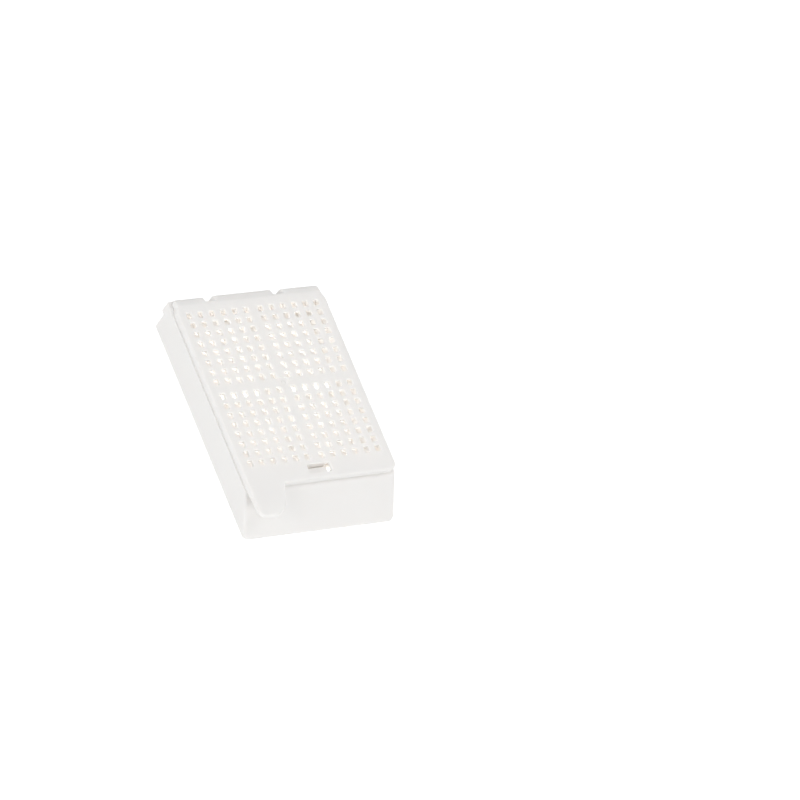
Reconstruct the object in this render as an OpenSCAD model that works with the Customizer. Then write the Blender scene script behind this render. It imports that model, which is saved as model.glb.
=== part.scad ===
// Tissue processing cassette with its lid shut.
// A perforated tray with a sloped writing face at the front, a perforated snap lid with a
// thumb tab, and the thin film that hinges them at the back. All of it is moulded in white acetal.
// X runs across the width, +Y towards the hinge, Z up from the underside.

/* [Overall] */
// Width across the side walls
body_w = 28.7; // [22:0.1:40]
// Length from the toe of the writing face to the hinge
body_l = 41; // [34:0.1:60]
// Height with the lid shut
body_h = 6.6; // [6:0.1:12]

/* [Tray] */
// Thickness of the tray's upright walls
wall_t = 0.95; // [0.8:0.05:1.2]
// Thickness of the wall behind the writing face
front_wall_t = 1.25; // [1:0.05:1.6]
// Thickness of the perforated floor
floor_t = 0.7; // [0.5:0.05:1.2]
// Height of the foot rim under the floor
foot_h = 0.3; // [0.1:0.05:0.6]
// Radius of the tray's inner corners, seen from above
tray_r = 0.7; // [0.3:0.1:1.2]
// Lean of the back wall below the hinge
back_lean = 0.3; // [0.1:0.05:0.5]
// Radius of the outer corners at the back, seen from above
back_r = 0.4; // [0.2:0.1:1]

/* [Writing face] */
// Length that the sloped face covers, seen from above
face_run = 5.6; // [5:0.1:8]
// Height of the upright land at its toe
toe_h = 0.3; // [0.1:0.05:0.6]
// Thickness of the sloped panel
face_t = 1; // [0.8:0.05:1.4]
// Radius of the toe's corners, seen from above
toe_r = 1; // [0.5:0.1:1.5]
// Thickness of each rib under the panel
rib_t = 0.8; // [0.5:0.1:1.2]
// Number of hollows between those ribs
bays = 3; // [1:1:5]

/* [Lid] */
// Thickness of the perforated plate
plate_t = 0.6; // [0.45:0.05:0.9]
// Height of the thicker edge that rests over the walls
rim_h = 1.1; // [1:0.05:1.5]
// Gap between that edge and the walls
seam = 0.06; // [0.03:0.01:0.15]
// Width of the ledge that the lid leaves open on the left wall
ledge_w = 0.25; // [0:0.05:0.4]
// Width of the tray's edge that shows in front of the lid
lid_back = 0.15; // [0:0.05:0.4]
// Radius of the lid's free front corner
lid_r = 1.65; // [0.8:0.05:2.5]
// Thickness of the locating rib inside the walls
locate_t = 0.4; // [0.3:0.05:0.5]
// How far the locating rib reaches down into the tray
locate_h = 0.6; // [0.3:0.05:1]
// Play between the locating rib and the side and front walls
locate_gap = 0.15; // [0.1:0.05:0.3]
// Distance from the rib's ends to the back wall, which they clear as the lid swings up
locate_end = 2.1; // [1.6:0.1:4]
// Diameter of the moulding mark in the middle of the lid
gate_d = 2.2; // [1.5:0.1:2.2]
// Depth of the moulding mark
gate_h = 0.1; // [0.05:0.05:0.2]
// Diameter of the stub left in the moulding mark
stub_d = 0.7; // [0.4:0.1:1]

/* [Thumb tab] */
// Width of the tab where it leaves the lid
tab_w = 6.9; // [5:0.05:9]
// Taper of its free side, from the root to the shoulder
tab_taper = 1.65; // [0.5:0.05:2.5]
// Width of the corner cut from the shoulder to the tip
tab_cut = 1.75; // [0.5:0.05:2.5]
// Length of that corner cut along the tab
tab_cut_l = 1.35; // [0.5:0.05:2]
// Distance from the tip back to the toe of the writing face
tab_short = 0.3; // [0.2:0.05:1.5]
// Radius of the tab's outer corner
tab_r = 1.4; // [1:0.05:2.4]
// Radius of the two ends of that corner cut
tab_cut_r = 1.1; // [0.2:0.05:1.2]
// Thickness at the tip
tab_tip_t = 0.5; // [0.4:0.05:0.9]

/* [Back edge] */
// Length of the lid's sloped and rounded back edge
slope_l = 1.7; // [1.4:0.05:2.2]
// Fall of that slope in degrees
slope_a = 14.5; // [8:0.5:25]
// Radius that turns the slope down into the hinge flap
flap_r = 1.2; // [0.9:0.05:1.3]
// Thickness of the hinge flap
flap_t = 0.85; // [0.6:0.05:1.1]
// Gap between the hinge flap and the back wall
flap_gap = 0.2; // [0.15:0.05:0.4]
// How far the hinge flap's middle lies to the left of the lid's middle
flap_shift = 0.5; // [0:0.05:1]
// How far the lid on each side of the flap stands back from it
flap_step = 0.15; // [0.05:0.05:0.2]
// Distance from the flap's middle to the slot on each side of it
slot_x = 6.45; // [4:0.05:8]
// Width of those slots
slot_t = 1.95; // [0.8:0.05:2.4]
// Length of those slots
slot_l = 1.3; // [1.1:0.05:1.6]
// Radius of the slots' inner corners
slot_r = 0.15; // [0.05:0.05:0.3]
// Radius of the slots' outer corners
slot_lip = 0.3; // [0.1:0.05:0.5]
// How much the lid narrows on each side before the slope
neck_in = 0.4; // [0.1:0.05:0.6]
// Length over which it narrows
neck_l = 0.9; // [0.6:0.05:1.5]
// Distance from there to the slope
neck_back = 0.3; // [0.2:0.05:1]
// Radius of the two bends where it narrows
neck_r = 0.9; // [0.3:0.05:1]
// Radius of the lid's back corners, seen from above
corner_r = 1; // [0.4:0.05:1.2]
// Radius of the back corners of the two blocks that carry the lid's back edge
block_r = 0.5; // [0.2:0.05:0.8]

/* [Hinge film] */
// Thickness of the film
film_t = 0.2; // [0.1:0.05:0.3]
// Gap that the folded film bridges
film_gap = 0.3; // [0.2:0.05:0.5]
// Clearance over the folded film
film_play = 0.05; // [0.02:0.01:0.1]
// How far the film stops short of the hinge flap's ends
film_end = 0.35; // [0.1:0.05:1]
// How far the hinge axis lies inside the hinge flap's outer face
axis_in = 0.1; // [0.05:0.05:0.2]
// Thickness of the shelf where the film leaves it
shelf_t = 0.85; // [0.6:0.05:1.1]
// Thickness of the shelf where it meets the back wall
shelf_root_t = 1.7; // [1.2:0.05:2]

/* [Latch] */
// Width of the latch window
window_w = 4.25; // [3:0.05:6]
// Length of the latch window
window_l = 1.6; // [1.4:0.05:2]
// Distance from the lid's front edge to the window
window_in = 1.2; // [1.15:0.05:2]
// Width of the catch and of the tongue that it holds
latch_w = 3.5; // [2.5:0.05:5]
// Height of the catch where it meets the front wall
catch_h = 1.2; // [1:0.05:2]
// How far the top of the catch lies below the perforated plate
catch_drop = 0.15; // [0.1:0.05:0.3]
// Lean of the catch's front side, which the lid's edge clears as it lifts
catch_draft = 0.12; // [0.06:0.02:0.2]
// Height of the catch's upright nose
nose_h = 0.5; // [0.3:0.05:0.8]
// Thickness of the lid's tongue
tongue_t = 0.7; // [0.5:0.05:1]
// Height of the hook at the tongue's end, with its lead-in
hook_h = 0.9; // [0.6:0.05:1.2]
// Play between the hook and the nose above it
hook_play = 0.25; // [0.1:0.05:0.3]
// Gap between the catch and the tongue
latch_gap = 0.4; // [0.3:0.05:0.5]
// How far the hook reaches under the catch
hook_bite = 0.15; // [0.05:0.05:0.25]

/* [Perforation] */
// Spacing of the holes across the width
pitch_x = 2.15; // [1.6:0.05:4]
// Spacing of the holes along the length
pitch_y = 1.76; // [1.5:0.01:4]
// Extra width of the solid band down the middle
band_x = 0.6; // [0:0.05:4]
// Extra length of the solid band across the middle
band_y = 0.92; // [0:0.02:4]
// Size of a hole across the width
hole_w = 0.95; // [0.6:0.05:1.2]
// Size of a hole along the length
hole_l = 1.05; // [0.6:0.05:1.2]
// Least distance from a hole's centre to the tray's side walls
hole_side = 1.1; // [1.1:0.05:4]
// Least distance from a hole's centre to the tray's end walls
hole_end = 1.1; // [1.1:0.05:4]
// Shift of the pattern towards the hinge, to leave room for the latch
hole_shift = 1.35; // [0.9:0.05:3]

/* [Hidden] */
shade = [0.94, 0.94, 0.93];   // white acetal
cut = 0.5;                    // how far a cutting shape runs past a face
steps = 8;                    // flats in each rounded corner
turn_steps = 16;              // flats in the turn of the back edge

half_w = body_w / 2;
front_y = -body_l / 2;
rear_y = body_l / 2;

rim_z = body_h - rim_h;             // underside of the lid's edge
wall_z = rim_z - seam;              // top of the tray's walls
plate_z = body_h - plate_t;         // underside of the perforated plate
floor_z = foot_h + floor_t;         // top of the tray's floor
hinge_z = body_h / 2;               // the lid lies flat on the table when it is swung right back

face_y = front_y + face_run;        // top of the writing face
lid_y = face_y + lid_back;          // front edge of the lid
lid_left = ledge_w - half_w;        // left side of the lid
tray_y = face_y + front_wall_t;     // front wall, inner face
flap_y = rear_y - flap_t;           // hinge flap, inner face
back_y = flap_y - flap_gap;         // back wall, outer face
tray_end_y = back_y - wall_t;       // back wall, inner face
tray_half = half_w - wall_t;        // side walls, inner face
slope_y = rear_y - slope_l;         // where the lid's top starts to fall
outer_y = rear_y - flap_step;       // back face of the lid beside the hinge flap
slot_y = rear_y - slot_l;           // front end of the slots
flap_half = slot_x - slot_t / 2;    // half width of the hinge flap
root_y = rear_y - film_gap / 2 - film_t;    // faces that the film leaves and reaches
axis_y = rear_y - axis_in;          // the hinge axis is at [0, axis_y, hinge_z]

locate_half = tray_half - locate_gap;       // locating rib, outer face
recess_half = locate_half - locate_t;       // thin plate inside the rib
recess_y = tray_y + locate_gap + locate_t;
window_y = lid_y + window_in;               // front side of the latch window
tongue_y = window_y + window_l;             // front face of the tongue
catch_y = tongue_y - latch_gap;             // nose of the catch
catch_z = plate_z - catch_drop;             // top of the catch, under the window
hook_z = catch_z - nose_h - hook_play;      // top of the hook, under the nose

// Centres of the holes along one axis: both halves of a row, with the solid band between them
function row(pitch, band, reach) =
    let (first = (pitch + band) / 2, count = floor((reach - first) / pitch) + 1)
    [for (side = [-1, 1], i = [0 : count - 1]) side * (first + i * pitch)];

holes_y = (tray_y + hole_shift + tray_end_y) / 2;
holes_along = row(pitch_y, band_y, (tray_end_y - tray_y - hole_shift) / 2 - hole_end);
holes_across = row(pitch_x, band_x, tray_half - hole_side);

// Points of an arc of radius r that rounds the corner at b, on the way from a to c
function corner(a, b, c, r) =
    let (u = (a - b) / norm(a - b), v = (c - b) / norm(c - b),
         half = acos(u * v) / 2,
         middle = b + (u + v) / norm(u + v) * r / sin(half),
         start = b + u * r / tan(half) - middle,
         turn = (u.x * v.y - u.y * v.x > 0 ? -1 : 1) * (180 - 2 * half))
    [for (i = [0 : steps])
        let (t = turn * i / steps)
        middle + [start.x * cos(t) - start.y * sin(t), start.x * sin(t) + start.y * cos(t)]];

// An outline from corners given as [x, y, radius]
function rounded(list) =
    let (n = len(list), at = [for (p = list) [p.x, p.y]])
    [for (i = [0 : n - 1]) each
        (list[i].z > 0 ? corner(at[(i + n - 1) % n], at[i], at[(i + 1) % n], list[i].z) : [at[i]])];

// A section in Y and Z, drawn out along X between two places
module along_x(from, to) {
    translate([from, 0, 0])
        rotate([90, 0, 90])
            linear_extrude(to - from) children();
}

// One cutting bar for each hole of the pattern
module holes(from_z, to_z) {
    for (x = holes_across, y = holes_along)
        translate([x - hole_w / 2, holes_y + y - hole_l / 2, from_z])
            cube([hole_w, hole_l, to_z - from_z]);
}

// Base ---------------------------------------------------------------------------------------

module tray_plan() {
    polygon(rounded([
        [-tray_half, tray_y, tray_r], [tray_half, tray_y, tray_r],
        [tray_half, tray_end_y, tray_r], [-tray_half, tray_end_y, tray_r]]));
}

module base_outside() {
    intersection() {
        linear_extrude(wall_z)
            polygon(rounded([
                [-half_w, front_y, toe_r], [half_w, front_y, toe_r],
                [half_w, back_y, back_r], [-half_w, back_y, back_r]]));
        along_x(-half_w, half_w)
            polygon([
                [front_y, 0], [front_y, toe_h], [face_y, wall_z],
                [back_y, wall_z], [back_y, hinge_z], [back_y - back_lean, 0]]);
    }
}

// The wedge of air under the writing face, open below, between the ribs
module face_hollow() {
    rise = wall_z - toe_h;
    fall = face_t * norm([face_run, rise]) / face_run;     // panel thickness, measured upright
    top_z = wall_z - fall;
    toe_y = face_y - top_z * face_run / rise;
    pitch = (2 * tray_half + rib_t) / bays;
    for (from = [-tray_half : pitch : tray_half])
        along_x(from, from + pitch - rib_t)
            polygon([
                [toe_y - cut * face_run / rise, -cut], [face_y, top_z], [face_y, -cut]]);
}

// The two blocks on the back wall that carry the lid's edge on each side of the hinge flap
module back_blocks() {
    in_y = back_y - wall_t / 2;
    side_y = in_y - back_r;
    for (side = [-1, 1])
        let (inner_x = side * (slot_x + slot_t / 2) - flap_shift, outer_x = side * half_w)
            translate([0, 0, hinge_z])
                linear_extrude(wall_z - hinge_z)
                    polygon(rounded([
                        [inner_x, in_y, 0], [inner_x, outer_y, slot_r],
                        [outer_x, outer_y, block_r], [outer_x, side_y, 0],
                        [outer_x - side * wall_t / 2, side_y, 0], [outer_x - side * wall_t, in_y, 0]]));
}

// The nose on the front wall that the lid's hook snaps under
module catch() {
    along_x(-latch_w / 2, latch_w / 2)
        polygon([
            [tray_y - front_wall_t / 2, catch_z - catch_h], [tray_y - front_wall_t / 2, wall_z],
            [window_y + seam, wall_z], [window_y + seam + catch_draft, catch_z],
            [catch_y, catch_z], [catch_y, catch_z - nose_h], [tray_y, catch_z - catch_h]]);
}

// The shelf on the back wall that the hinge film grows from
module hinge_shelf() {
    top_z = hinge_z - film_gap / 2;
    along_x(-flap_half - flap_shift, flap_half - flap_shift)
        polygon([
            [back_y - wall_t / 2, top_z - shelf_root_t], [back_y - wall_t / 2, top_z],
            [root_y, top_z], [root_y, top_z - shelf_t]]);
}

module base() {
    color(shade) {
        difference() {
            base_outside();
            translate([0, 0, floor_z]) linear_extrude(body_h) tray_plan();
            translate([0, 0, foot_h - body_h]) linear_extrude(body_h) tray_plan();
            holes(0, floor_z + cut);
            face_hollow();
        }
        catch();
        back_blocks();
        hinge_shelf();
    }
}

// Lid ----------------------------------------------------------------------------------------

// The lid from above: the plate with its thumb tab at the front left
module lid_plan() {
    tip_y = front_y + tab_short;
    root_x = lid_left + tab_w;
    shoulder_x = root_x - tab_taper;
    neck_y = slope_y - neck_back;
    polygon(rounded([
        [lid_left, tip_y, tab_r],
        [shoulder_x - tab_cut, tip_y, tab_cut_r], [shoulder_x, tip_y + tab_cut_l, tab_cut_r],
        [root_x, lid_y, 0],
        [half_w, lid_y, lid_r],
        [half_w, neck_y - neck_l, neck_r], [half_w - neck_in, neck_y, neck_r],
        [half_w - neck_in, outer_y, corner_r],
        [slot_x - flap_shift, outer_y, 0], [slot_x - flap_shift, rear_y, 0],
        [-slot_x - flap_shift, rear_y, 0], [-slot_x - flap_shift, outer_y, 0],
        [lid_left + neck_in, outer_y, corner_r],
        [lid_left + neck_in, neck_y, neck_r], [lid_left, neck_y - neck_l, neck_r]]));
}

// The gap beside the hinge flap, with rounded corners
module flap_slot() {
    side = slot_t / 2;
    wide = side + slot_lip;
    translate([0, 0, -cut])
        linear_extrude(body_h + 2 * cut)
            polygon(rounded([
                [-side, slot_y, slot_r], [side, slot_y, slot_r],
                [side, outer_y, slot_lip], [wide, outer_y, 0], [wide, rear_y + cut, 0],
                [-wide, rear_y + cut, 0], [-wide, outer_y, 0], [-side, outer_y, slot_lip]]));
}

// The lid's section behind the crease: the slope, the turn and the face down to bottom_z
function back_edge(out_y, r, bottom_z) =
    let (turn_y = out_y - r,
         turn_z = body_h - (turn_y - slope_y) * tan(slope_a) - r / cos(slope_a))
    [each [for (i = [0 : turn_steps])
        let (t = (90 - slope_a) * (1 - i / turn_steps))
        [turn_y + r * cos(t), turn_z + r * sin(t)]],
     [out_y, bottom_z]];

module lid_section(out_y, r, bottom_z) {
    polygon(concat(
        [[front_y, body_h], [slope_y, body_h]],
        back_edge(out_y, r, bottom_z),
        [[flap_y, bottom_z], [flap_y, rim_z], [lid_y, rim_z], [front_y, body_h - tab_tip_t]]));
}

// The hinge flap's foot, cut back to make room for the folded film
module film_room() {
    foot_z = hinge_z + film_gap / 2;
    top_z = foot_z + film_t + film_play;
    along_x(-slot_x - flap_shift, slot_x - flap_shift)
        polygon([
            [root_y, foot_z - cut], [root_y, top_z],
            [rear_y + cut, top_z + rear_y + cut - root_y], [rear_y + cut, foot_z - cut]]);
}

module lid_outside() {
    left_x = -slot_x - flap_shift;
    right_x = slot_x - flap_shift;
    intersection() {
        linear_extrude(body_h) lid_plan();
        union() {
            along_x(left_x, right_x)
                lid_section(rear_y, flap_r, hinge_z + film_gap / 2);
            intersection() {
                union() {
                    along_x(-half_w, left_x) lid_section(outer_y, flap_r - flap_step, hinge_z);
                    along_x(right_x, half_w) lid_section(outer_y, flap_r - flap_step, hinge_z);
                }
                translate([-half_w, front_y, rim_z]) cube([body_w, body_l, rim_h]);
            }
        }
    }
}

// The rib on three sides that drops inside the walls and centres the lid
module locating_rib() {
    open_y = recess_y - locate_t;
    end_y = tray_end_y - locate_end;
    gap_half = window_w / 2 + rib_t;
    round_r = tray_r - locate_gap;
    translate([0, 0, rim_z - locate_h])
        linear_extrude(locate_h + rim_h - plate_t)
            difference() {
                polygon(rounded([
                    [-locate_half, open_y, round_r], [locate_half, open_y, round_r],
                    [locate_half, end_y, 0], [-locate_half, end_y, 0]]));
                translate([-recess_half, recess_y]) square([2 * recess_half, body_l]);
                translate([-gap_half, open_y - cut]) square([2 * gap_half, locate_t + 2 * cut]);
            }
}

// The springy tongue behind the window, with the hook at its end
module tongue() {
    along_x(-latch_w / 2, latch_w / 2)
        polygon([
            [tongue_y, plate_z + plate_t / 2], [tongue_y, hook_z], [catch_y - hook_bite, hook_z],
            [catch_y - hook_bite, hook_z - hook_bite], [tongue_y, hook_z - hook_h],
            [tongue_y + tongue_t, hook_z - hook_h], [tongue_y + tongue_t, plate_z + plate_t / 2]]);
}

module lid() {
    color(shade) {
        difference() {
            lid_outside();
            translate([-recess_half, recess_y, 0])
                cube([2 * recess_half, tray_end_y - locate_t - recess_y, plate_z]);
            holes(plate_z - cut, body_h + cut);
            translate([-window_w / 2, window_y, rim_z - cut])
                cube([window_w, window_l, body_h]);
            for (side = [-1, 1])
                translate([side * slot_x - flap_shift, 0, 0]) flap_slot();
            film_room();
            translate([0, holes_y, body_h - gate_h])
                cylinder(h = body_h, d = gate_d, $fn = 48);
        }
        locating_rib();
        tongue();
        translate([0, holes_y, plate_z])
            cylinder(h = plate_t - gate_h / 2, d = stub_d, $fn = 32);
    }
}

// Hinge film ---------------------------------------------------------------------------------

// The film as it lies with the lid shut: folded in a half round between shelf and flap
module hinge_film() {
    color(shade)
        along_x(film_end - flap_half - flap_shift, flap_half - film_end - flap_shift)
            translate([root_y, hinge_z])
                difference() {
                    circle(r = film_gap / 2 + film_t, $fn = 48);
                    circle(r = film_gap / 2, $fn = 48);
                    translate([-body_h, -body_h / 2]) square(body_h);
                }
}

base();
lid();
hinge_film();
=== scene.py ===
import math

import bmesh
import bpy
from mathutils import Matrix, Vector
from mathutils.bvhtree import BVHTree
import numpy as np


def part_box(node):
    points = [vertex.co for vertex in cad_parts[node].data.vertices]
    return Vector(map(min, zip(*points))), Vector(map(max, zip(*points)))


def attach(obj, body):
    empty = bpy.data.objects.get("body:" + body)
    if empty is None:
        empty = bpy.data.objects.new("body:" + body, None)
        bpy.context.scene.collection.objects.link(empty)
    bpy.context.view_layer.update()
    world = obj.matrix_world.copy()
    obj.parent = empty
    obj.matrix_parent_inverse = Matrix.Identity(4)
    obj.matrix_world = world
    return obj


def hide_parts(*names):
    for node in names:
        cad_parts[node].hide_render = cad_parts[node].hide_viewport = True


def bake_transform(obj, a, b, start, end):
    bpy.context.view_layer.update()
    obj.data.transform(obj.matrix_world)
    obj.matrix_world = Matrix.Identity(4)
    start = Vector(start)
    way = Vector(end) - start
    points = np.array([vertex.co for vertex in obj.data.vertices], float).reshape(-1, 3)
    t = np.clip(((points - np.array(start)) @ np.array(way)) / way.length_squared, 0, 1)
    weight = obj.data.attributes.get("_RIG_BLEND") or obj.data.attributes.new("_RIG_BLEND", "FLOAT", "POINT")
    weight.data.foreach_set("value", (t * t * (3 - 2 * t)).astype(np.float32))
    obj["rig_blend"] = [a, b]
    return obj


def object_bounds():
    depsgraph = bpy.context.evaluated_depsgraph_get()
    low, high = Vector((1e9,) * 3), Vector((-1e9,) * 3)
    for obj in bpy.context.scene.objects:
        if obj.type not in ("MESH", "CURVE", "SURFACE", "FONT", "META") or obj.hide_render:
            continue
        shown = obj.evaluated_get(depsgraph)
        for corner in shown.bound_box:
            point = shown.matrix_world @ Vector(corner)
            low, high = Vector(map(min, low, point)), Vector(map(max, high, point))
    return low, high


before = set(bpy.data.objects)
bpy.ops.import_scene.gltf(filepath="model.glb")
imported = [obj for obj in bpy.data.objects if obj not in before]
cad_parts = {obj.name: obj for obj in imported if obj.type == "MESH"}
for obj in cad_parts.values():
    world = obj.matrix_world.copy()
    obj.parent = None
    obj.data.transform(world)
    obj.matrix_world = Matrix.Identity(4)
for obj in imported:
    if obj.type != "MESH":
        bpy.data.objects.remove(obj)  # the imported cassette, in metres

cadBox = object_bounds()
mm = 0.001
scene = bpy.context.scene


def boxOf(node):
    return [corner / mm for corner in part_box(node)]  # lowest and highest corner, in mm


# The camera, lights and floor come first.

camera = {
    "azimuth": -55.97,       # degrees round the cassette, 0 looks along +Y
    "elevation": 47.19,      # degrees above the table
    "roll": 40.61,           # the cassette lies tilted in the picture
    "distance": 1091.9,      # mm from the lid
    "aimSide": 19.95,        # mm that the view is aimed to the right of the middle of the lid
    "aimBack": -2.55,        # mm, towards the hinge
    "lens": 307.5,
}


def makeCamera(c):
    lo, hi = cadBox
    aim = Vector(((lo.x + hi.x) / 2 + c["aimSide"] * mm, (lo.y + hi.y) / 2 + c["aimBack"] * mm, hi.z))
    az, el = math.radians(c["azimuth"]), math.radians(c["elevation"])
    back = Vector((math.sin(az) * math.cos(el), -math.cos(az) * math.cos(el), math.sin(el)))
    data = bpy.data.cameras.new("camera")
    data.lens = c["lens"]
    data.clip_start, data.clip_end = 0.01, 10
    cam = bpy.data.objects.new("camera", data)
    turn = (-back).to_track_quat("-Z", "Y").to_matrix().to_4x4()
    roll = Matrix.Rotation(math.radians(c["roll"]), 4, "Z")
    cam.matrix_world = Matrix.Translation(aim + back * c["distance"] * mm) @ turn @ roll
    scene.collection.objects.link(cam)
    scene.camera = cam


lights = {
    # name: (direction it comes from, size in mm, watts)
    "key": ((0.6, 0.1, 0.75), 90, 0.21),
    "front": ((0.3, -1.0, 0.5), 200, 0.47),
    "left": ((-1.0, -0.2, 0.35), 260, 0.59),
    "rear": ((-0.4, 1.0, 0.6), 200, 0.19),
}
lightColor = (1.0, 0.99, 0.988)
lampDistance = 450  # mm


def makeLights(spec, middle):
    for name, (way, size, watts) in spec.items():
        data = bpy.data.lights.new(name, "AREA")
        data.shape = "DISK"
        data.size = size * mm
        data.energy = watts
        data.color = lightColor
        lamp = bpy.data.objects.new(name, data)
        way = Vector(way).normalized()
        lamp.location = middle + way * lampDistance * mm
        lamp.rotation_euler = (-way).to_track_quat("-Z", "Y").to_euler()
        scene.collection.objects.link(lamp)


studio = {
    "horizon": 0.1,          # how bright the room is round the table, and overhead
    "zenith": 0.87,
    "lightBounces": 16,      # light goes back and forth inside the shut cassette
    "floorSize": 3,          # m
    "floorColor": (0.3, 0.3, 0.3, 1),
    "floorGlow": 0.6,        # the floor is a light table
    "padGlow": 2.75,         # brighter under the tray, so that the plastic is lit through
    "seenGlow": 1.0,         # how bright either looks itself
    "padInset": 1.5,         # mm inside the tray's outline
    "padFront": 6,           # mm more at the writing face
    "padHeight": 0.05,       # mm above the floor
}


def makePlane(name, size, middle, s, glow):
    bpy.ops.mesh.primitive_plane_add(size=1, location=middle)
    plane = bpy.context.object
    plane.name = name
    plane.scale = (size[0], size[1], 1)
    mat = bpy.data.materials.new(name)
    mat.use_nodes = True
    nodes, links = mat.node_tree.nodes, mat.node_tree.links
    bsdf = nodes["Principled BSDF"]
    bsdf.inputs["Base Color"].default_value = s["floorColor"]
    bsdf.inputs["Roughness"].default_value = 0.8
    bsdf.inputs["Specular IOR Level"].default_value = 0.1
    bsdf.inputs["Emission Color"].default_value = (1, 1, 1, 1)
    strength = nodes.new("ShaderNodeMapRange")
    links.new(nodes.new("ShaderNodeLightPath").outputs["Is Camera Ray"], strength.inputs["Value"])
    strength.inputs["To Min"].default_value = glow
    strength.inputs["To Max"].default_value = s["seenGlow"]
    links.new(strength.outputs["Result"], bsdf.inputs["Emission Strength"])
    plane.data.materials.append(mat)


def makeStudio(s):
    world = bpy.data.worlds.new("studio")
    scene.world = world
    world.use_nodes = True
    nodes, links = world.node_tree.nodes, world.node_tree.links
    sky = nodes["Background"]
    sky.inputs["Color"].default_value = (*lightColor, 1)
    height = nodes.new("ShaderNodeSeparateXYZ")
    links.new(nodes.new("ShaderNodeTexCoord").outputs["Generated"], height.inputs["Vector"])
    fade = nodes.new("ShaderNodeMapRange")
    links.new(height.outputs["Z"], fade.inputs["Value"])
    fade.inputs["To Min"].default_value = s["horizon"]
    fade.inputs["To Max"].default_value = s["zenith"]
    links.new(fade.outputs["Result"], sky.inputs["Strength"])
    scene.cycles.max_bounces = scene.cycles.diffuse_bounces = s["lightBounces"]
    makePlane("floor", (s["floorSize"],) * 2, (0, 0, 0), s, s["floorGlow"])
    lo, hi = boxOf("base")
    lo.y += s["padFront"]
    size = (hi - lo) * mm - Vector((2, 2, 0)) * s["padInset"] * mm
    middle = ((lo + hi) / 2 * mm).xy.to_3d() + Vector((0, 0, s["padHeight"] * mm))
    makePlane("pad", size, middle, s, s["padGlow"])


makeCamera(camera)
makeLights(lights, (cadBox[0] + cadBox[1]) / 2)
makeStudio(studio)
scene.view_settings.view_transform = "Standard"
print("stage is set")


acetal = {
    "milk": (0.935, 0.92, 0.903, 1),     # the white of the plastic
    "cloud": (0.922, 0.905, 0.886, 1),   # and of its faint clouds
    "cloudSize": 5,          # mm
    "depth": 0.26,           # mm that light spreads inside
    "spread": (1.0, 0.98, 0.96),
    "satin": (0.28, 0.38),   # roughness, from the polished to the duller patches
    "grainSize": 0.09,       # mm, the fine texture left by the mould
    "grainHeight": 0.01,     # mm
    "grain": 0.05,           # how strongly it shows
    "rippleSize": 1.6,       # mm, slow waves where the plastic shrank
    "rippleHeight": 0.2,     # mm
    "ripple": 0.03,
}


def makeAcetal(s):
    mat = bpy.data.materials.new("whiteAcetal")
    mat.use_nodes = True
    nodes, links = mat.node_tree.nodes, mat.node_tree.links
    bsdf = nodes["Principled BSDF"]
    place = nodes.new("ShaderNodeTexCoord").outputs["Object"]

    def noise(size, detail):
        n = nodes.new("ShaderNodeTexNoise")
        n.inputs["Scale"].default_value = 1 / (size * mm)
        n.inputs["Detail"].default_value = detail
        links.new(place, n.inputs["Vector"])
        return n.outputs["Fac"]

    clouds = noise(s["cloudSize"], 3)
    tint = nodes.new("ShaderNodeMix")
    tint.data_type = "RGBA"
    links.new(clouds, tint.inputs["Factor"])
    tint.inputs["A"].default_value = s["milk"]
    tint.inputs["B"].default_value = s["cloud"]
    links.new(tint.outputs["Result"], bsdf.inputs["Base Color"])
    gloss = nodes.new("ShaderNodeMapRange")
    links.new(noise(s["cloudSize"] / 6, 4), gloss.inputs["Value"])
    gloss.inputs["From Min"].default_value, gloss.inputs["From Max"].default_value = 0.35, 0.65
    gloss.inputs["To Min"].default_value, gloss.inputs["To Max"].default_value = s["satin"]
    links.new(gloss.outputs["Result"], bsdf.inputs["Roughness"])
    normal = None
    waves = (s["rippleSize"], s["ripple"], s["rippleHeight"])
    grains = (s["grainSize"], s["grain"], s["grainHeight"])
    for size, strength, height in (waves, grains):
        bump = nodes.new("ShaderNodeBump")
        bump.inputs["Strength"].default_value = strength
        bump.inputs["Distance"].default_value = height * mm
        links.new(noise(size, 2), bump.inputs["Height"])
        if normal:
            links.new(normal, bump.inputs["Normal"])
        normal = bump.outputs["Normal"]
    links.new(normal, bsdf.inputs["Normal"])
    bsdf.inputs["IOR"].default_value = 1.48
    bsdf.inputs["Subsurface Weight"].default_value = 1
    bsdf.inputs["Subsurface Radius"].default_value = s["spread"]
    bsdf.inputs["Subsurface Scale"].default_value = s["depth"] * mm
    return mat


whiteAcetal = makeAcetal(acetal)


# Meshes are shaped in millimetres and brought to metres at the end.

def tempObject(bm, name="temp"):
    data = bpy.data.meshes.new(name)
    bm.to_mesh(data)
    bm.free()
    ob = bpy.data.objects.new(name, data)
    scene.collection.objects.link(ob)
    return ob


def dropObject(ob):
    data = ob.data
    bpy.data.objects.remove(ob)
    bpy.data.meshes.remove(data)


def applied(bm, kind, **settings):
    ob = tempObject(bm)
    mod = ob.modifiers.new(kind, kind)
    for key, value in settings.items():
        setattr(mod, key, value)
    out = bmesh.new()
    out.from_object(ob, bpy.context.evaluated_depsgraph_get())
    dropObject(ob)
    return out


def combine(bm, tool, operation):
    cutter = tempObject(tool)
    out = applied(bm, "BOOLEAN", operation=operation, object=cutter, solver="MANIFOLD")
    dropObject(cutter)
    return out


def newMesh():
    bm = bmesh.new()
    bm.edges.layers.float.new("bevel_weight_edge")
    return bm


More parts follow.
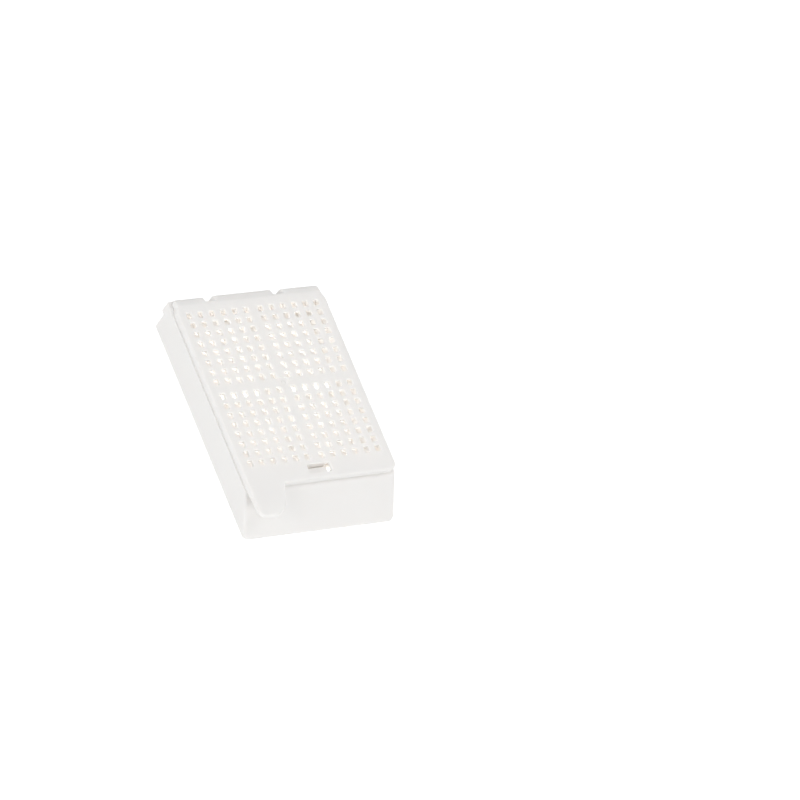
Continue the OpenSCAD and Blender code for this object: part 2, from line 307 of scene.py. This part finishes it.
def roundEdges(bm, radiusOf, segments):
    weight = bm.edges.layers.float["bevel_weight_edge"]
    radii = {e: radiusOf(e) for e in bm.edges}
    widest = max(radii.values())
    for e, r in radii.items():
        e[weight] = r / widest
    return applied(bm, "BEVEL", width=widest, segments=segments, limit_method="WEIGHT",
                   use_clamp_overlap=False, loop_slide=False, miter_outer="MITER_SHARP")


def flatten(bm):
    bmesh.ops.dissolve_limit(bm, angle_limit=math.radians(0.5), verts=bm.verts, edges=bm.edges)


# Closes the square holes and returns their middles, widths, lengths and heights.
def plugHoles(bm, widest=1.3):
    def narrow(f):
        return len(f.verts) == 4 and abs(f.normal.z) < 0.01 and max(
            (a.co.xy - b.co.xy).length for a in f.verts for b in f.verts) < widest

    sides = dict.fromkeys(f for f in bm.faces if narrow(f))  # kept in the mesh's own order
    holes, walls, caps = [], [], []
    while sides:
        first = next(iter(sides))
        del sides[first]
        ring, stack = [], [first]
        while stack:
            f = stack.pop()
            ring.append(f)
            for e in f.edges:
                if abs((e.verts[0].co - e.verts[1].co).normalized().z) > 0.99:
                    for g in e.link_faces:
                        if g in sides:
                            del sides[g]
                            stack.append(g)
        corners = dict.fromkeys(v for f in ring for v in f.verts)
        if len(ring) != 4 or len(corners) != 8:
            continue
        lo = Vector([min(v.co[i] for v in corners) for i in range(3)])
        hi = Vector([max(v.co[i] for v in corners) for i in range(3)])
        middle = (lo + hi) / 2
        for way in (1, -1):
            cap = [v for v in corners if (v.co.z - middle.z) * way > 0]
            caps.append(sorted(
                cap, key=lambda v: way * math.atan2(v.co.y - middle.y, v.co.x - middle.x)))
        walls += ring
        holes.append((middle, hi - lo))
    bmesh.ops.delete(bm, geom=walls, context="FACES")
    for cap in caps:
        bm.faces.new(cap)
    bm.normal_update()
    return holes


def plainBody(node, weld):
    bm = newMesh()
    bm.from_mesh(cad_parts[node].data)
    bmesh.ops.scale(bm, vec=(1 / mm,) * 3, verts=bm.verts)
    bmesh.ops.remove_doubles(bm, verts=bm.verts, dist=weld)
    flatten(bm)
    holes = plugHoles(bm)
    flatten(bm)
    return bm, holes


# One cutter for all holes: rounded squares that flare where they meet the faces.
def holeCutter(holes, cornerRadius, topFlare, lowFlare):
    bm = bmesh.new()
    for middle, size in holes:
        levels = []
        for end, flare in ((1, topFlare), (-1, lowFlare)):
            arc = []
            for t in (8, 28, 48, 68, 90):
                a = math.radians(t)
                arc.append((flare * (1 - math.sin(a)), size.z / 2 - flare * (1 - math.cos(a))))
            wide, high = arc[0]
            arc.insert(0, (wide + 0.12, high + 0.03))
            levels += [(w, h * end) for w, h in (arc if end > 0 else reversed(arc))]
        rings = []
        for wider, height in levels:
            half = size.xy / 2 + Vector((wider, wider))
            r = cornerRadius + wider
            ring = []
            for k in range(4):
                sx, sy = ((1, 1), (-1, 1), (-1, -1), (1, -1))[k]
                for t in (0, 30, 60, 90):
                    a = math.radians(90 * k + t)
                    ring.append(bm.verts.new((
                        middle.x + sx * (half.x - r) + r * math.cos(a),
                        middle.y + sy * (half.y - r) + r * math.sin(a),
                        middle.z + height)))
            rings.append(ring)
        for a, b in zip(rings, rings[1:]):
            for i in range(16):
                j = (i + 1) % 16
                bm.faces.new((a[i], b[i], b[j], a[j]))
        bm.faces.new(rings[0])
        bm.faces.new(reversed(rings[-1]))
    bm.normal_update()
    return bm


def finishPiece(bm, name, node, body=None):
    bmesh.ops.scale(bm, vec=(mm,) * 3, verts=bm.verts)
    piece = tempObject(bm, name)
    piece.data.materials.append(whiteAcetal)
    piece.data.shade_smooth()
    piece.data.set_sharp_from_angle(angle=math.radians(38))
    soft = piece.modifiers.new("normals", "WEIGHTED_NORMAL")
    soft.mode = "FACE_AREA"
    soft.weight = 50
    soft.keep_sharp = True
    if body:
        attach(piece, body)
    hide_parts(node)
    print(name, "has", len(piece.data.polygons), "faces")
    return piece


lid = {
    "rimRadius": 0.4,        # mm, rounds the plate's outline
    "slotRadius": 0.25,      # mm, rounds the edges beside the hinge flap
    "creaseSoft": 0.3,       # mm on each side of the crease
    "windowRadius": 0.12,
    "underRadius": 0.04,     # mm, every other edge
    "holeCorner": 0.2,
    "holeFlare": 0.1,        # mm, rounds the holes' upper edges
    "holeUnder": 0.06,
    "skin": 0.0045,          # mm that the rounding solid stands off the faces it leaves alone
    "rimDrop": 0.05,         # mm that the rim comes down on the tray's walls, so the seam is closed
    "frontLift": 0.3,        # mm that the front edge's underside stands up at its right end
    "flapMargin": 1.2,       # mm on each side of the flap, where the slots are
    "slotFade": 0.3,         # mm over which the rounding runs out at the back, in the slots
    "rimFade": 1,            # and at the rim
    "backDepth": 1.05,       # mm under the plate's top where the back edge is measured
    "roundSteps": 5,
}


# The faces that look up and are joined to this one.
def topFaces(start):
    seen, stack = {start: None}, [start]
    while stack:
        for e in stack.pop().edges:
            for f in e.link_faces:
                if f not in seen and f.normal.z > 0.05:
                    seen[f] = None
                    stack.append(f)
    return seen


def outerLoop(faces):
    rim = dict.fromkeys(e for f in faces for e in f.edges if sum(g in faces for g in e.link_faces) == 1)
    loops = []
    while rim:
        e = next(iter(rim))
        del rim[e]
        first, v = e.verts
        loop, edges = [first], [e]
        while v is not first:
            loop.append(v)
            e = next(x for x in v.link_edges if x in rim)
            del rim[e]
            edges.append(e)
            v = e.other_vert(v)
        loops.append((loop, edges))
    return max(loops, key=lambda x: max(v.co.x for v in x[0]) - min(v.co.x for v in x[0]))


# Drops points that sit close together or on a straight line.
def simpler(points, gap=0.04, turn=2.0):
    out = []
    for p in points:
        if not out or (p - out[-1]).length > gap:
            out.append(p)
    return [p for i, p in enumerate(out)
            if math.degrees((p - out[i - 1]).angle(out[(i + 1) % len(out)] - p)) > turn]


# The way to move each corner so that both of its edges move out by one.
def outward(points):
    ways = []
    for i, p in enumerate(points):
        a = (p - points[i - 1]).normalized()
        b = (points[(i + 1) % len(points)] - p).normalized()
        n = Vector((a.y, -a.x)) + Vector((b.y, -b.x))
        ways.append(n * (2 / max(n.length_squared, 0.8)))
    return ways


# A prism over the lid's outline, rounded along its upper edge and bent down over the back edge.
# What it shares with the lid is the lid with a rounded outline.
def roundingSolid(bm, s, top, loop):
    flap = boxOf("hinge_film")
    flapMiddle = (flap[0].x + flap[1].x) / 2
    flapReach = (flap[1].x - flap[0].x) / 2 + s["flapMargin"]
    sideColumn = flap[1].x + 5
    topZ = max(v.co.z for v in loop)
    outerY = max(v.co.y for v in loop if abs(v.co.x - flapMiddle) > flapReach)
    plate = max(top, key=lambda f: f.calc_area())
    creaseY = max(v.co.y for v in plate.verts)
    tree = BVHTree.FromBMesh(bm)
    down = Vector((0, 0, -1))

    def heightAt(x, y):
        column = flapMiddle if abs(x - flapMiddle) < flapReach else sideColumn
        hit = tree.ray_cast(Vector((column, y, topZ + 5)), down)[0]
        return hit.z if hit else topZ

    columns = {}
    for column in (flapMiddle, sideColumn):
        back = tree.ray_cast(Vector((column, 99, topZ - s["backDepth"])), Vector((0, -1, 0)))[0].y
        columns[column] = back - 0.002

    def bent(x, y):
        column = flapMiddle if abs(x - flapMiddle) < flapReach else sideColumn
        y = min(y, columns[column])
        w = s["creaseSoft"]
        if abs(y - creaseY) < w:
            fall = (topZ - heightAt(x, creaseY + w)) / w
            return topZ - fall * (y - creaseY + w) ** 2 / (4 * w)
        return heightAt(x, y)

    def roundAt(p):
        slot = p.y > creaseY and abs(p.x - flapMiddle) < flapReach + s["flapMargin"]
        r, fade = (s["slotRadius"], s["slotFade"]) if slot else (s["rimRadius"], s["rimFade"])
        return r * min(1, max(0, (outerY - p.y - 0.05) / fade))

    points = simpler([v.co.xy.copy() for v in loop])
    if sum(a.x * b.y - b.x * a.y for a, b in zip(points, points[1:] + points[:1])) < 0:
        points.reverse()
    box = bmesh.new()
    rings = [[box.verts.new((*(p + n * s["skin"]), 0)) for p, n in zip(points, outward(points))]]
    for k in range(s["roundSteps"] + 1):
        t = math.radians(90 * k / s["roundSteps"])
        ring = []
        for p, n in zip(points, outward(points)):
            r = roundAt(p)
            at = p + n * (s["skin"] - r * (1 - math.cos(t)))
            ring.append(box.verts.new((*at, topZ - r * (1 - math.sin(t)))))
        rings.append(ring)
    for a, b in zip(rings, rings[1:]):
        for i in range(len(points)):
            j = i + 1 - len(points)
            box.faces.new((a[i], a[j], b[j], b[i]))
    box.faces.new(rings[0][::-1])
    box.faces.new(rings[-1])
    bmesh.ops.remove_doubles(box, verts=box.verts, dist=0.0005)
    box.normal_update()
    cuts = {round(creaseY + s["creaseSoft"] * k / 5, 4) for k in range(-5, 6)}
    for f in top:
        for e in f.edges:
            a, b = e.verts
            level = abs(a.co.y - b.co.y) < 0.001 and abs(a.co.x - b.co.x) > 3
            if level and a.co.y > creaseY + s["creaseSoft"]:
                cuts.add(round(a.co.y, 4))
    for y in sorted(cuts):
        bmesh.ops.bisect_plane(box, geom=box.verts[:] + box.edges[:] + box.faces[:], dist=1e-5,
                               plane_co=(0, y, 0), plane_no=(0, 1, 0))
    for v in box.verts:
        if v.co.z > 1:
            v.co.z += bent(v.co.x, v.co.y) - topZ + s["skin"]
    bmesh.ops.triangulate(box, faces=box.faces)
    return box


# The rim's underside settles on the tray's walls, and its front edge lifts a little towards the right.
def settleRim(bm, drop, lift):
    wide = [f for f in bm.faces if f.normal.z < -0.99
            and max(v.co.x for v in f.verts) - min(v.co.x for v in f.verts) > 20]
    low = min(v.co.z for f in wide for v in f.verts)
    front = min(v.co.y for f in wide for v in f.verts if abs(v.co.z - low) < 0.01) + 0.6
    bmesh.ops.bisect_plane(bm, geom=bm.verts[:] + bm.edges[:] + bm.faces[:], dist=1e-5,
                           plane_co=(0, front, 0), plane_no=(0, 1, 0))
    left, right = (corner.x for corner in boxOf("lid"))
    for v in bm.verts:
        if abs(v.co.z - low) < 0.01:
            if v.co.y > front - 0.001:
                v.co.z -= drop
            else:
                v.co.z += lift * (v.co.x - left) / (right - left)


def makeLid(s):
    bm, holes = plainBody("lid", 0.002)
    settleRim(bm, s["rimDrop"], s["frontLift"])
    top = topFaces(max(bm.faces, key=lambda f: (f.normal.z > 0.99) * f.calc_area()))
    loop, rim = outerLoop(top)
    rim = set(rim)
    rimCorners = set(loop)
    solid = roundingSolid(bm, s, top, loop)
    hinge = boxOf("hinge_film")[1]

    def radius(e):
        angle = math.degrees(e.calc_face_angle_signed(0))
        if abs(angle) < 20 or e in rim or all(f in top for f in e.link_faces):
            return 0
        m = (e.verts[0].co + e.verts[1].co) / 2
        if m.y > hinge.y - 1.5 and m.z < hinge.z + 1:
            return 0
        if any(f in top for v in e.verts for f in v.link_faces) and not rimCorners & set(e.verts):
            return s["windowRadius"] if m.y < 0 else 0.05
        return s["underRadius"]

    bm = roundEdges(bm, radius, 3)
    bm = combine(bm, solid, "INTERSECT")
    bm = combine(bm, holeCutter(holes, s["holeCorner"], s["holeFlare"], s["holeUnder"]), "DIFFERENCE")
    finishPiece(bm, "lidShell", "lid", "lid")


tray = {
    "faceRadius": 0.5,       # mm, the writing face's side edges
    "browRadius": 0.35,      # mm, its upper edge
    "toeRadius": 0.15,       # mm, its lower edge
    "wallRadius": 0.18,      # mm, the walls' outer upper edge, a little less at the back
    "fineRadius": 0.08,      # mm, every other edge
    "rearRadius": 0.03,      # mm, the small edges round the hinge
    "holeCorner": 0.2,
    "holeFlare": 0.08,
    "holeUnder": 0.06,
}


def makeTray(s):
    bm, holes = plainBody("base", 0.025)
    hi, hinge = boxOf("base")[1], boxOf("hinge_film")[0]
    sloped = [f for f in bm.faces if f.normal.y < -0.3 and f.normal.z > 0.3]
    face = max(sloped, key=lambda f: f.calc_area())
    brow = max(v.co.z for v in face.verts)
    toe = min(v.co.z for v in face.verts)
    rim = set(outerLoop(topFaces(face))[1])

    def radius(e):
        if abs(e.calc_face_angle_signed(0)) < math.radians(20):
            return 0
        m = (e.verts[0].co + e.verts[1].co) / 2
        if face in e.link_faces:
            if m.z > brow - 0.01:
                return s["browRadius"]
            rise = min(1, (m.z - toe) / 0.8)
            return s["toeRadius"] + (s["faceRadius"] - s["toeRadius"]) * rise
        if e in rim:
            return s["wallRadius"] * (0.6 + 0.8 * max(0, abs(m.x) - hi.x + 0.5))
        if m.y > hi.y - 1.8 and 0.1 < m.z < hinge.z + 0.5:
            return s["rearRadius"] if e.is_convex else 0
        return s["fineRadius"]

    bm = roundEdges(bm, radius, 4)
    bm = combine(bm, holeCutter(holes, s["holeCorner"], s["holeFlare"], s["holeUnder"]), "DIFFERENCE")
    finishPiece(bm, "trayShell", "base", "base")


film = {
    "thickness": 0.2,        # mm
    "turns": 20,             # steps round the fold
    "root": 0.02,            # mm that its ends reach into the tray and the lid
}


# The thin web of the hinge, folded over while the lid is shut.
def makeFilm(s):
    lo, hi = boxOf("hinge_film")
    outer = (hi.z - lo.z) / 2
    middle = Vector((0, lo.y, lo.z + outer))
    profile = []
    for r, way in ((outer, 1), (outer - s["thickness"], -1)):
        arc = [(s["root"] * -1, r * -1)]
        for k in range(s["turns"] + 1):
            t = math.radians(180 * k / s["turns"] - 90)
            arc.append((r * math.cos(t), r * math.sin(t)))
        arc.append((s["root"] * -1, r))
        profile += arc[::way]
    bm = bmesh.new()
    ends = [[bm.verts.new((x, middle.y + y, middle.z + z)) for y, z in profile] for x in (lo.x, hi.x)]
    n = len(profile)
    for i in range(n):
        j = (i + 1) % n
        bm.faces.new((ends[0][i], ends[1][i], ends[1][j], ends[0][j]))
    half = n // 2
    for side, flip in ((ends[0], 1), (ends[1], -1)):
        for i in range(half - 1):
            bm.faces.new((side[i], side[i + 1], side[n - 2 - i], side[n - 1 - i])[::flip])
    bmesh.ops.recalc_face_normals(bm, faces=bm.faces)
    piece = finishPiece(bm, "hingeFilm", "hinge_film")
    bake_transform(piece, "base", "lid", start=(0, middle.y * mm, (middle.z - outer / 2) * mm),
             end=(0, middle.y * mm, (middle.z + outer / 2) * mm))


makeLid(lid)
makeTray(tray)
makeFilm(film)
print("lid, tray and hinge film are made")
